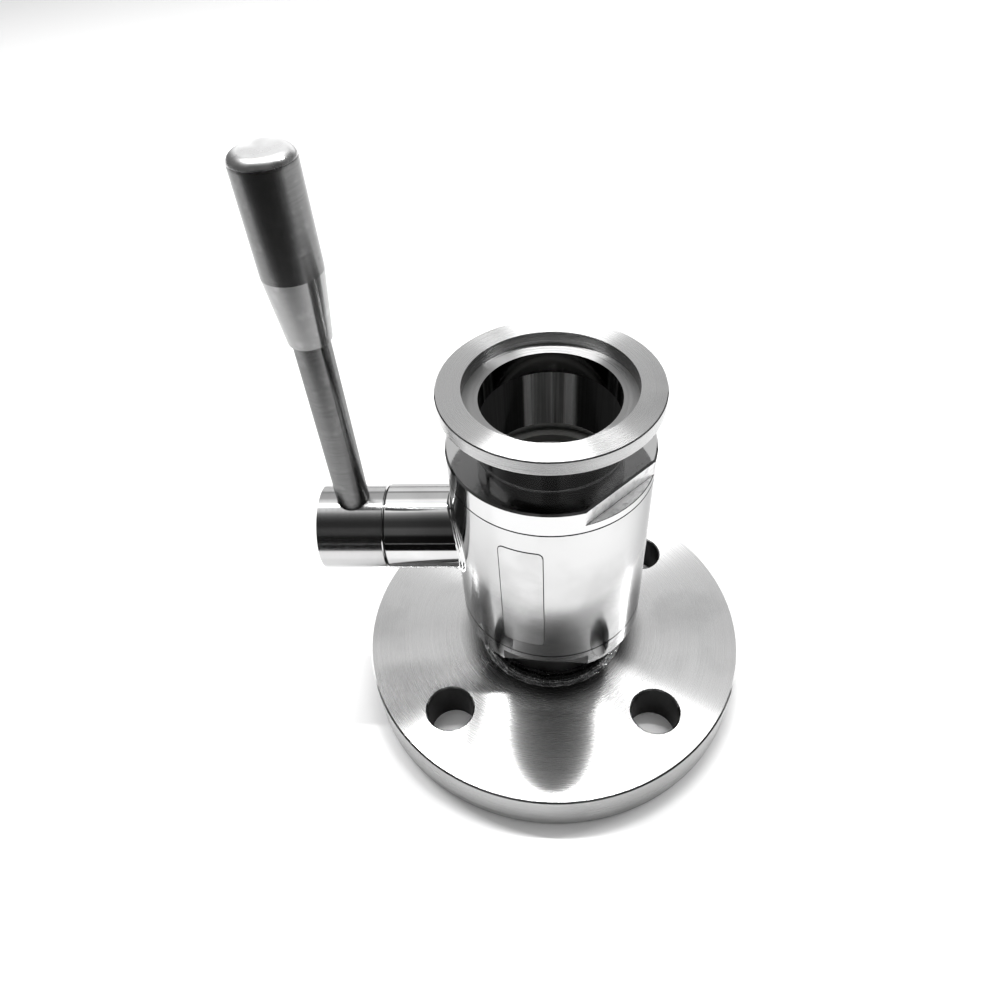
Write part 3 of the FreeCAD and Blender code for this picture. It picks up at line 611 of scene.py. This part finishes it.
def dress_flange_and_rim(bright):
    """Turned flange and coupling rim."""
    axis, turned = Vector(), {"spread": 1.0, "pitch": FINE_PITCH}
    # The outer walls are painted darker (0.5) than the turned faces, as shade.
    wall = turned_steel("wall_turned_painted_shade", "Z", axis, 0.25, 0.00005 * MM, colour=0.5)
    # The flange is painted darker round the weld's foot, as shade.
    dress(["mounting_flange"], turned_steel("flange_turned", "Z", axis, 0.27, 0.00008 * MM, uneven=0.1,
                                            tinted=(28 * MM, 39 * MM), **turned))
    dress(["coupling_ferrule"], turned_steel("ferrule_turned", "Z", axis, 0.27, 0.00008 * MM, uneven=0.08,
                                             **turned))
    for name in ("mounting_flange", "coupling_ferrule"):
        dress_faces(name, bright, slanted)
        dress_faces(name, wall, on_outer_wall)
    # Painted shade: the bolt holes' walls are given near-black steel, for the shade inside them.
    hole = plain("hole_bored_painted_shade", (0.012,) * 3, 0.35, 1.0, grain=500.0, depth=0.02 * MM)
    dress_faces("mounting_flange", hole, in_bolt_hole)
    # Painted shade: the recess wall is given darker steel (0.3), for the shade in the recess.
    recess = turned_steel("recess_turned_painted_shade", "Z", axis, 0.3, 0.00005 * MM, colour=0.3)
    ledge = turned_steel("ledge_turned", "Z", axis, 0.33, 0.0001 * MM, colour=0.5, spread=1.0)
    # Painted shade: the rim's bore is given near-black steel, for the shade down the bore.
    dress_faces("coupling_ferrule", polished_steel("bore_polished_painted_shade", 0.08, colour=0.05), in_bore)
    dress_faces("coupling_ferrule", recess, on_recess_wall)
    # Painted shade: the rim's back and neck are given dark steel (0.12), for the shade under the rim.
    dress_faces("coupling_ferrule", polished_steel("rim_back_polished_painted_shade", 0.2, colour=0.12), under_rim)
    dress_faces("coupling_ferrule", ledge, on_ledge)


def dress_body(stem_centre):
    """Polished shell, housing, end caps and pipes."""
    shadow = plain("joint_shadow", (0.02,) * 3, 0.4, 1.0)
    polish = {"uneven": 0.1, "edge": 0.45}
    dress(["body_shell", "housing_weld"], turned_steel("shell_polished", "Z", Vector(), 0.1, 0.00002 * MM,
                                                       colour=0.64, **polish))
    dress_faces("body_shell", shadow, at_joint)
    dress(["stem_housing"], turned_steel("housing_polished", "X", stem_centre, 0.1, 0.00002 * MM, colour=0.68,
                                         **polish))
    dress(["upper_end_cap", "lower_end_cap"], polished_steel("cap_polished", 0.08, colour=0.68, edge=0.45))
    ledge = milled_steel("flat_ledge", ledge=True)
    # The lower flats share the milled finish but are painted much darker (0.22) as shade.
    for cap, milled in (("upper_end_cap", milled_steel("upper_flat_milled")),
                        ("lower_end_cap", milled_steel("lower_flat_milled_painted_shade", tone=0.22))):
        dress_faces(cap, milled, on_flat)
        dress_faces(cap, ledge, on_flat_ledge)
        dress_faces(cap, shadow, at_joint)
    # Painted shade: the cap's underside is given near-black steel, for the shade between cap and flange.
    dress_faces("lower_end_cap", plain("cap_underside_painted_shade", (0.025,) * 3, 0.4, 1.0), on_underside)
    dress(["neck_pipe"], polished_steel("pipe_polished", 0.08, colour=0.5))
    dress(["stub_pipe"], polished_steel("pipe_pickled", 0.35, colour=0.3))
    honed = honed_steel("bore_honed_painted_highlight")
    for tube in ("stub_pipe", "neck_pipe", "upper_end_cap", "lower_end_cap"):
        dress_faces(tube, honed, in_bore)


def dress_lever(bright, stem_centre):
    """Turned hub, drawn rod and worn grip."""
    lever_centre = Vector((LEVER_X, 0, 0))
    dress(["lever_hub"], turned_steel("hub_turned", "X", stem_centre, 0.22, 0.00003 * MM, colour=0.52))
    dress_faces("lever_hub", bright, on_hub_edge)
    # Painted light: the grip's end is given far brighter steel (0.95) than the grip and rod (0.17), a painted
    # highlight on top and painted shade on the sides.
    dress(["lever_rod"], handled_steel("rod_drawn", lever_centre, 0.17, 0.12, edge=0.7))
    dress(["lever_grip"], handled_steel("grip_turned", lever_centre, 0.17, 0.08))
    dress_faces("lever_grip", handled_steel("cone_turned", lever_centre, 0.3, 0.04), on_grip_cone)
    dress_faces("lever_grip", polished_steel("grip_polished_painted_highlight", 0.28, colour=0.95), on_grip_top)


def dress_inside():
    """Ball, stem, seats, seals and the two hidden welds."""
    weld = plain("weld_bead", (0.5,) * 3, 0.35, 1.0, grain=900.0, depth=0.1 * MM)
    dress(["flange_weld", "flange_inner_weld"], weld)
    dress(["ball", "stem", "stop_pin"], plain("inner_steel", (0.7,) * 3, 0.15, 1.0))
    # Painted shade: the ball's port is given darker steel than the ball, for the shade deep in the bore.
    dress_faces("ball", plain("port_bored_painted_shade", (0.2,) * 3, 0.3, 1.0), in_bore)
    # Painted shade: the white plastic seats and bushes are given mid grey, for the shade deep inside the body.
    dress(["upper_seat", "lower_seat", "thrust_washer", "gland_bush"], plain("seat_plastic", (0.3, 0.3, 0.29), 0.4))
    dress(["upper_cap_oring", "lower_cap_oring", "stem_orings"], plain("seal_rubber", (0.02,) * 3, 0.6))


def dress_valve():
    """Finish of every CAD node."""
    stem_centre = Vector((0, 0, STEM_AXIS_Z))
    bright = polished_steel("edge_polished", 0.1, wave=0.0)
    dress_flange_and_rim(bright)
    dress_body(stem_centre)
    dress_lever(bright, stem_centre)
    dress_inside()


# Pieces that the looks add

def add_piece(name, mesh, materials):
    """Links a new mesh as a smooth piece that rides on the valve."""
    piece = bpy.data.objects.new(name, mesh)
    bpy.context.scene.collection.objects.link(piece)
    for material in materials:
        mesh.materials.append(material)
    for face in mesh.polygons:
        face.use_smooth = True
    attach(piece, "valve")
    return piece


def wobble(side, face, waves, layer):
    """Smooth noise from -1 to 1 round an axis: more waves make it finer, each layer is another noise."""
    return perlin.noise(Vector((waves * side, waves * face, layer)))


def circle(count, stops=None):
    """Cosine and sine of turns, so many to the full circle."""
    for i in range(stops or count):
        turn = 2 * math.pi * i / count
        yield math.cos(turn), math.sin(turn)


def mesh_grid(name, *sheets, closed=False):
    """Quad mesh through sheets of rows of points; where closed, a sheet's last row joins its first."""
    points, faces = [], []
    for rows in sheets:
        start, count = len(points), len(rows[0])
        for i in range(len(rows) if closed else len(rows) - 1):
            here, there = start + i * count, start + (i + 1) % len(rows) * count
            faces += [(here + j, here + j + 1, there + j + 1, there + j) for j in range(count - 1)]
        points += [point for row in rows for point in row]
    mesh = bpy.data.meshes.new(name)
    mesh.from_pydata(points, [], faces)
    return mesh


def build_plate():
    """Bare foil plate bent round the shell, rounded at its corners, with a fine dark rim."""
    first, last = (math.radians(angle) for angle in PLATE_TURN)
    half_width, half_height = SHELL_R * (last - first) / 2, (PLATE_TOP - PLATE_FOOT) / 2
    half_columns, half_lines = (cells / 2 for cells in PLATE_CELLS)
    radius = SHELL_R + PLATE_THICKNESS
    rows = []
    for i in range(PLATE_CELLS[0] + 1):
        across = half_width * (i / half_columns - 1)
        past = max(0.0, abs(across) - (half_width - PLATE_CORNER))
        height = half_height - PLATE_CORNER + math.sqrt(max(0.0, PLATE_CORNER ** 2 - past ** 2))
        turn = (first + last) / 2 + across / SHELL_R
        rows.append([(radius * math.sin(turn), -radius * math.cos(turn),
                      (PLATE_TOP + PLATE_FOOT) / 2 + height * (j / half_lines - 1))
                     for j in range(PLATE_CELLS[1] + 1)])
    mesh = mesh_grid("plate", rows)
    shape = bmesh.new()
    shape.from_mesh(mesh)
    bmesh.ops.recalc_face_normals(shape, faces=shape.faces)
    rim = bmesh.ops.inset_region(shape, faces=shape.faces[:], thickness=PLATE_RIM, use_boundary=True,
                                 use_even_offset=True)["faces"]
    edges = [edge for edge in shape.edges if edge.is_boundary]
    skirt = bmesh.ops.extrude_edge_only(shape, edges=edges)["geom"]
    for item in rim + skirt:
        if isinstance(item, bmesh.types.BMFace):
            item.material_index = 1
        elif isinstance(item, bmesh.types.BMVert):
            item.co.xy *= (SHELL_R - PLATE_SINK) / item.co.xy.length
    shape.to_mesh(mesh)
    shape.free()
    add_piece("bare_plate", mesh, [plate_foil(), plate_rim()])


def build_flange_weld():
    """Hand-laid bead round the foot of the pipe: uneven ripples with a start and stop."""
    low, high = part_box("flange_weld")
    inner, leg, foot = PIPE_R - 0.1 * MM, high.z - low.z, low.z - 0.05 * MM
    width = high.x + 1.3 * MM - inner
    count, steps, ripple_length, threads = 900, 12, 2.1, 2.6
    rows = []
    ripple = 0.0
    for side, face in circle(count):
        ripple += 2 * math.pi * PIPE_R / count / ((ripple_length + 0.5 * wobble(side, face, 3, 5)) * MM)
        spread = width + (0.3 * wobble(side, face, 4, 0) + 0.25 * wobble(side, face, 11, 1)) * MM
        climb = leg + (0.5 * wobble(side, face, 3, 2) + 0.2 * wobble(side, face, 13, 3)) * MM
        full = (0.4 + 0.3 * wobble(side, face, 5, 4)) * MM
        points = []
        for j in range(steps + 1):
            down = j / steps
            crest = abs(math.sin(math.pi * (ripple + 0.6 * (down - 0.5) ** 2)))
            thread = math.cos(2 * math.pi * threads * down + 2.0 * wobble(side, face, 5, 6))
            rough = 0.08 * crest + 0.26 * thread + 0.16 * wobble(side, face, 30, 9 * down)
            rise = (full + rough * MM) * math.sin(math.pi * down)
            radius = inner + spread * down + rise * 0.7
            points.append((radius * side, radius * face, foot + climb * (1 - down) + rise * 0.7))
        rows.append(points)
    weld = add_piece("flange_bead", mesh_grid("weld", rows, closed=True), [weld_steel()])
    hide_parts("flange_weld")


def build_bead_threads():
    """Bright threads of spatter and undercut along the bead's foot, thick and thin by turns."""
    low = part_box("flange_weld")[0].z
    count, corners = 720, 8
    sheets = []
    for number, (radius, height) in enumerate(((PIPE_R + 4.7 * MM, 0.0), (PIPE_R + 3.6 * MM, 0.95 * MM))):
        rows = []
        for side, face in circle(count, count + 1):
            size = max(0.04, 0.34 + 0.5 * wobble(side, face, 7, 40 + number)) * MM
            drift = (0.35 * wobble(side, face, 4, 44 + number) + 0.3 * wobble(side, face, 14, 47)) * MM
            points = []
            for j in range(corners + 1):
                climb = 2 * math.pi * j / corners
                reached = radius + drift + size * math.cos(climb)
                points.append((reached * side, reached * face, low + height + size * math.sin(climb)))
            rows.append(points)
        sheets.append(rows)
    bright = polished_steel("thread_bright", 0.16, colour=0.85)
    add_piece("bead_threads", mesh_grid("threads", *sheets), [bright])


def build_neck_seam():
    """Fine seam where the neck pipe enters the upper cap's socket."""
    top = CAP_BOXES[1][1].z
    count, steps, start = 360, 8, -0.2
    rows = []
    for side, face in circle(count):
        size = (0.42 + 0.08 * wobble(side, face, 6, 30)) * MM
        points = []
        for j in range(steps + 1):
            climb = math.pi * j / steps + start
            reached = PIPE_R + size * math.cos(climb)
            points.append((reached * side, reached * face, top + size * math.sin(climb)))
        rows.append(points)
    seam = polished_steel("seam_polished", 0.15)
    add_piece("neck_seam", mesh_grid("seam", rows, closed=True), [seam])


def build_housing_weld():
    """Saddle weld between housing and shell, ground by hand: flats and low ridges that wander."""
    low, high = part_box("housing_weld")
    centre_z = (low.z + high.z) / 2
    count, steps, ridges, sink, hollow = 256, 26, 3, 0.12 * MM, 0.25 * MM
    near = HOUSING_R - sink
    rows = []
    for side, face in circle(count):
        far = HOUSING_R + (1.75 + 0.4 * wobble(side, face, 2, 20)) * MM
        corner = -math.sqrt(SHELL_R ** 2 - (HOUSING_R * side) ** 2)
        leg = (2.0 + 0.5 * wobble(side, face, 2, 21)) * MM
        start = Vector((corner - leg, near * side, near * face))
        end = Vector((-math.sqrt((SHELL_R - sink) ** 2 - (far * side) ** 2), far * side, far * face))
        middle = Vector((corner - hollow, (HOUSING_R + hollow) * side, (HOUSING_R + hollow) * face))
        out = Vector((-0.7, 0.7 * side, 0.7 * face))
        points = []
        for j in range(steps + 1):
            along = j / steps
            point = (1 - along) ** 2 * start + 2 * along * (1 - along) * middle + along ** 2 * end
            drift = along + 0.10 * wobble(side, face, 2.5, 22)
            ridge = math.cos(2 * math.pi * ridges * drift + 0.8 * wobble(side, face, 5, 23))
            lift = 0.10 * ridge + 0.16 * wobble(side, face, 4, 24 + 3 * along)
            point += out * (math.sin(math.pi * along) * (0.20 + lift) * MM)
            points.append((point.x, point.y, point.z + centre_z))
        rows.append(points)
    polished = polished_steel("saddle_polished", 0.07, wave=0.04 * MM)
    weld = add_piece("housing_bead", mesh_grid("saddle", rows, closed=True), [polished])
    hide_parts("housing_weld")


build_world()
build_floor()
build_flag()
build_lamps()
build_camera()
dress_valve()
build_plate()
build_flange_weld()
build_bead_threads()
build_neck_seam()
build_housing_weld()
bpy.context.scene.view_settings.view_transform = "Standard"
